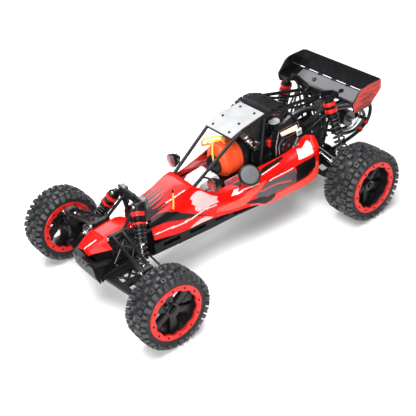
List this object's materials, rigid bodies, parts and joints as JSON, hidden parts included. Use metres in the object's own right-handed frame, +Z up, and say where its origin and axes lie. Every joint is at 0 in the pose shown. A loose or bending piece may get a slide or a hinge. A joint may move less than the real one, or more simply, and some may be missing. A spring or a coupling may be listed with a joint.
{
  "type": "remote control car",
  "caption": "Large-scale radio-controlled off-road buggy with tube roll cage, rear wing, petrol engine, long-travel sprung suspension and steering front wheels.",
  "frame": {"origin": "on the ground under the middle of the bounding box", "axes": "+X to the car's left, -Y to the front (the nose points along -Y), +Z up"},
  "size_m": [0.471, 0.8341, 0.2801],
  "materials": {
    "tyre": "matte",
    "rim": "satin",
    "alloy_black": "satin",
    "plastic_black": "matte",
    "body_red": "gloss",
    "cage": "satin",
    "roof_grey": "satin",
    "wing": "gloss",
    "engine": "satin",
    "steel": "satin",
    "spring_steel": "satin",
    "tank": "satin",
    "cap_grey": "matte",
    "fuel_hose": "satin",
    "receiver_white": "satin",
    "lamp": "satin"
  },
  "bodies": {
    "chassis": {"chassis_plate": "alloy_black", "front_bulkhead": "plastic_black", "front_bumper": "plastic_black", "nose_cover": "body_red", "body_shell": "body_red", "side_pods": "body_red", "roll_cage": "cage", "roof_panels": "roof_grey", "rear_wing": "wing", "engine": "engine", "exhaust": "alloy_black", "fuel_tank": "tank", "fuel_line": "fuel_hose", "gearbox": "plastic_black", "rear_tower": "alloy_black", "rear_bumper": "cage", "headlamps": "lamp", "radio_box": "receiver_white"},
    "fuel_cap": {"fuel_cap": "cap_grey"},
    "steering_link": {"steering_link": "steel"},
    "spur_gear": {"spur_gear": "steel"},
    "clutch_pinion": {"clutch_pinion": "steel"},
    "front_left_lower_arm": {"front_left_lower_arm": "plastic_black"},
    "front_left_upper_arm": {"front_left_upper_arm": "plastic_black"},
    "front_left_hub_carrier": {"front_left_hub_carrier": "plastic_black"},
    "front_left_knuckle": {"front_left_knuckle": "alloy_black"},
    "front_left_wheel": {"front_left_tyre": "tyre", "front_left_rim": "rim"},
    "front_left_tie_rod": {"front_left_tie_rod": "steel"},
    "front_left_shock": {"front_left_shock_body": "alloy_black", "front_left_spring": "spring_steel"},
    "front_left_shock_rod": {"front_left_shock_rod": "steel"},
    "rear_left_lower_arm": {"rear_left_lower_arm": "plastic_black"},
    "rear_left_upper_link": {"rear_left_upper_link": "steel"},
    "rear_left_hub_carrier": {"rear_left_hub_carrier": "plastic_black"},
    "rear_left_wheel": {"rear_left_tyre": "tyre", "rear_left_rim": "rim"},
    "rear_left_driveshaft": {"rear_left_driveshaft": "steel"},
    "rear_left_shock": {"rear_left_shock_body": "alloy_black", "rear_left_spring": "spring_steel"},
    "rear_left_shock_rod": {"rear_left_shock_rod": "steel"},
    "front_right_lower_arm": {"front_right_lower_arm": "plastic_black"},
    "front_right_upper_arm": {"front_right_upper_arm": "plastic_black"},
    "front_right_hub_carrier": {"front_right_hub_carrier": "plastic_black"},
    "front_right_knuckle": {"front_right_knuckle": "alloy_black"},
    "front_right_wheel": {"front_right_tyre": "tyre", "front_right_rim": "rim"},
    "front_right_tie_rod": {"front_right_tie_rod": "steel"},
    "front_right_shock": {"front_right_shock_body": "alloy_black", "front_right_spring": "spring_steel"},
    "front_right_shock_rod": {"front_right_shock_rod": "steel"},
    "rear_right_lower_arm": {"rear_right_lower_arm": "plastic_black"},
    "rear_right_upper_link": {"rear_right_upper_link": "steel"},
    "rear_right_hub_carrier": {"rear_right_hub_carrier": "plastic_black"},
    "rear_right_wheel": {"rear_right_tyre": "tyre", "rear_right_rim": "rim"},
    "rear_right_driveshaft": {"rear_right_driveshaft": "steel"},
    "rear_right_shock": {"rear_right_shock_body": "alloy_black", "rear_right_spring": "spring_steel"},
    "rear_right_shock_rod": {"rear_right_shock_rod": "steel"}
  },
  "joints": [
    {"name": "front_left_suspension", "type": "hinge", "parent": "chassis", "child": "front_left_lower_arm", "pos_m": [0.036, -0.332, 0.088], "axis": [0, -1, 0], "range_deg": [-2, 16], "stiffness_Nm_per_rad": 14, "springref_deg": -9.17},
    {"name": "front_left_carrier_pivot", "type": "hinge", "parent": "front_left_lower_arm", "child": "front_left_hub_carrier", "pos_m": [0.152, -0.332, 0.066], "axis": [0, -1, 0], "range_deg": [-16, 2]},
    {"name": "front_left_upper_pivot", "type": "hinge", "parent": "chassis", "child": "front_left_upper_arm", "pos_m": [0.033, -0.332, 0.168], "axis": [0, -1, 0], "range_deg": [-2, 16]},
    {"name": "front_left_steer", "type": "hinge", "parent": "front_left_hub_carrier", "child": "front_left_knuckle", "pos_m": [0.165, -0.332, 0.085], "axis": [0, 0, 1], "range_deg": [-25, 25]},
    {"name": "front_left_spin", "type": "hinge", "parent": "front_left_knuckle", "child": "front_left_wheel", "pos_m": [0.205, -0.332, 0.085], "axis": [1, 0, 0], "continuous": true},
    {"name": "front_left_tie_pivot", "type": "hinge", "parent": "steering_link", "child": "front_left_tie_rod", "pos_m": [0.05, -0.287, 0.132], "axis": [0, -1, 0], "range_deg": [-2.16, 16.91]},
    {"name": "front_left_shock_pivot", "type": "hinge", "parent": "chassis", "child": "front_left_shock", "pos_m": [0.04, -0.2675, 0.214], "axis": [0, -1, 0], "range_deg": [-0.54, 4.16]},
    {"name": "front_left_shock_slide", "type": "slide", "parent": "front_left_shock", "child": "front_left_shock_rod", "axis": [-0.4962, 0.3626, 0.7888], "range_m": [-0.00281, 0.02213], "deforming": ["front_left_spring"]},
    {"name": "rear_left_suspension", "type": "hinge", "parent": "chassis", "child": "rear_left_lower_arm", "pos_m": [0.046, 0.239, 0.088], "axis": [0, -1, 0], "range_deg": [-2, 16], "stiffness_Nm_per_rad": 22, "springref_deg": -9.17},
    {"name": "rear_left_carrier_pivot", "type": "hinge", "parent": "rear_left_lower_arm", "child": "rear_left_hub_carrier", "pos_m": [0.14, 0.239, 0.066], "axis": [0, -1, 0], "range_deg": [-16, 2]},
    {"name": "rear_left_link_pivot", "type": "hinge", "parent": "chassis", "child": "rear_left_upper_link", "pos_m": [0.043, 0.2235, 0.15], "axis": [0, -1, 0], "range_deg": [-2, 16]},
    {"name": "rear_left_spin", "type": "hinge", "parent": "rear_left_hub_carrier", "child": "rear_left_wheel", "pos_m": [0.184, 0.239, 0.085], "axis": [1, 0, 0], "continuous": true},
    {"name": "rear_left_driveshaft_swing", "type": "hinge", "parent": "chassis", "child": "rear_left_driveshaft", "pos_m": [0.05, 0.239, 0.108], "axis": [0, -1, 0], "range_deg": [-2.54, 20.01]},
    {"name": "rear_left_shock_pivot", "type": "hinge", "parent": "chassis", "child": "rear_left_shock", "pos_m": [0.068, 0.2545, 0.252], "axis": [0, -1, 0], "range_deg": [-0.075, 0.463]},
    {"name": "rear_left_shock_slide", "type": "slide", "parent": "rear_left_shock", "child": "rear_left_shock_rod", "axis": [-0.3237, 0, 0.9462], "range_m": [-0.00265, 0.02089], "deforming": ["rear_left_spring"]},
    {"name": "front_right_suspension", "type": "hinge", "parent": "chassis", "child": "front_right_lower_arm", "pos_m": [-0.036, -0.332, 0.088], "axis": [0, 1, 0], "range_deg": [-2, 16], "stiffness_Nm_per_rad": 14, "springref_deg": -9.17},
    {"name": "front_right_carrier_pivot", "type": "hinge", "parent": "front_right_lower_arm", "child": "front_right_hub_carrier", "pos_m": [-0.152, -0.332, 0.066], "axis": [0, 1, 0], "range_deg": [-16, 2]},
    {"name": "front_right_upper_pivot", "type": "hinge", "parent": "chassis", "child": "front_right_upper_arm", "pos_m": [-0.033, -0.332, 0.168], "axis": [0, 1, 0], "range_deg": [-2, 16]},
    {"name": "front_right_steer", "type": "hinge", "parent": "front_right_hub_carrier", "child": "front_right_knuckle", "pos_m": [-0.165, -0.332, 0.085], "axis": [0, 0, 1], "range_deg": [-25, 25]},
    {"name": "front_right_spin", "type": "hinge", "parent": "front_right_knuckle", "child": "front_right_wheel", "pos_m": [-0.205, -0.332, 0.085], "axis": [1, 0, 0], "continuous": true},
    {"name": "front_right_tie_pivot", "type": "hinge", "parent": "steering_link", "child": "front_right_tie_rod", "pos_m": [-0.05, -0.287, 0.132], "axis": [0, 1, 0], "range_deg": [-2.16, 16.91]},
    {"name": "front_right_shock_pivot", "type": "hinge", "parent": "chassis", "child": "front_right_shock", "pos_m": [-0.04, -0.2675, 0.214], "axis": [0, 1, 0], "range_deg": [-0.54, 4.16]},
    {"name": "front_right_shock_slide", "type": "slide", "parent": "front_right_shock", "child": "front_right_shock_rod", "axis": [0.4962, 0.3626, 0.7888], "range_m": [-0.00281, 0.02213], "deforming": ["front_right_spring"]},
    {"name": "rear_right_suspension", "type": "hinge", "parent": "chassis", "child": "rear_right_lower_arm", "pos_m": [-0.046, 0.239, 0.088], "axis": [0, 1, 0], "range_deg": [-2, 16], "stiffness_Nm_per_rad": 22, "springref_deg": -9.17},
    {"name": "rear_right_carrier_pivot", "type": "hinge", "parent": "rear_right_lower_arm", "child": "rear_right_hub_carrier", "pos_m": [-0.14, 0.239, 0.066], "axis": [0, 1, 0], "range_deg": [-16, 2]},
    {"name": "rear_right_link_pivot", "type": "hinge", "parent": "chassis", "child": "rear_right_upper_link", "pos_m": [-0.043, 0.2235, 0.15], "axis": [0, 1, 0], "range_deg": [-2, 16]},
    {"name": "rear_right_spin", "type": "hinge", "parent": "rear_right_hub_carrier", "child": "rear_right_wheel", "pos_m": [-0.184, 0.239, 0.085], "axis": [1, 0, 0], "continuous": true},
    {"name": "rear_right_driveshaft_swing", "type": "hinge", "parent": "chassis", "child": "rear_right_driveshaft", "pos_m": [-0.05, 0.239, 0.108], "axis": [0, 1, 0], "range_deg": [-2.54, 20.01]},
    {"name": "rear_right_shock_pivot", "type": "hinge", "parent": "chassis", "child": "rear_right_shock", "pos_m": [-0.068, 0.2545, 0.252], "axis": [0, 1, 0], "range_deg": [-0.075, 0.463]},
    {"name": "rear_right_shock_slide", "type": "slide", "parent": "rear_right_shock", "child": "rear_right_shock_rod", "axis": [0.3237, 0, 0.9462], "range_m": [-0.00265, 0.02089], "deforming": ["rear_right_spring"]},
    {"name": "steering_slide", "type": "slide", "parent": "chassis", "child": "steering_link", "axis": [1, 0, 0], "range_m": [-0.0192, 0.0192]},
    {"name": "fuel_cap_turn", "type": "hinge", "parent": "chassis", "child": "fuel_cap", "pos_m": [0.09, -0.0085, 0.184], "axis": [0.7188, -0.2496, 0.6489], "range_deg": [0, 90]},
    {"name": "spur_gear_turn", "type": "hinge", "parent": "chassis", "child": "spur_gear", "pos_m": [-0.054, 0.1795, 0.15], "axis": [1, 0, 0], "continuous": true},
    {"name": "pinion_turn", "type": "hinge", "parent": "chassis", "child": "clutch_pinion", "pos_m": [-0.054, 0.1395, 0.15], "axis": [1, 0, 0], "continuous": true}
  ],
  "couplings": [
    {"joint": "front_left_carrier_pivot", "follows": "front_left_suspension", "ratio": -1},
    {"joint": "front_left_upper_pivot", "follows": "front_left_suspension", "ratio": 1},
    {"joint": "front_left_tie_pivot", "follows": "front_left_suspension", "ratio": 1.0538},
    {"joint": "front_left_shock_pivot", "follows": "front_left_suspension", "ratio": 0.2588},
    {"joint": "front_left_shock_slide", "follows": "front_left_suspension", "m_per_rad": 0.07906},
    {"joint": "rear_left_carrier_pivot", "follows": "rear_left_suspension", "ratio": -1},
    {"joint": "rear_left_link_pivot", "follows": "rear_left_suspension", "ratio": 1},
    {"joint": "rear_left_driveshaft_swing", "follows": "rear_left_suspension", "ratio": 1.2473},
    {"joint": "rear_left_shock_pivot", "follows": "rear_left_suspension", "ratio": 0.0277},
    {"joint": "rear_left_shock_slide", "follows": "rear_left_suspension", "m_per_rad": 0.07462},
    {"joint": "front_right_carrier_pivot", "follows": "front_right_suspension", "ratio": -1},
    {"joint": "front_right_upper_pivot", "follows": "front_right_suspension", "ratio": 1},
    {"joint": "front_right_steer", "follows": "front_left_steer", "ratio": 1},
    {"joint": "front_right_tie_pivot", "follows": "front_right_suspension", "ratio": 1.0538},
    {"joint": "front_right_shock_pivot", "follows": "front_right_suspension", "ratio": 0.2588},
    {"joint": "front_right_shock_slide", "follows": "front_right_suspension", "m_per_rad": 0.07906},
    {"joint": "rear_right_carrier_pivot", "follows": "rear_right_suspension", "ratio": -1},
    {"joint": "rear_right_link_pivot", "follows": "rear_right_suspension", "ratio": 1},
    {"joint": "rear_right_driveshaft_swing", "follows": "rear_right_suspension", "ratio": 1.2473},
    {"joint": "rear_right_shock_pivot", "follows": "rear_right_suspension", "ratio": 0.0277},
    {"joint": "rear_right_shock_slide", "follows": "rear_right_suspension", "m_per_rad": 0.07462},
    {"joint": "steering_slide", "follows": "front_left_steer", "m_per_rad": -0.043586},
    {"joint": "pinion_turn", "follows": "spur_gear_turn", "ratio": -3}
  ]
}
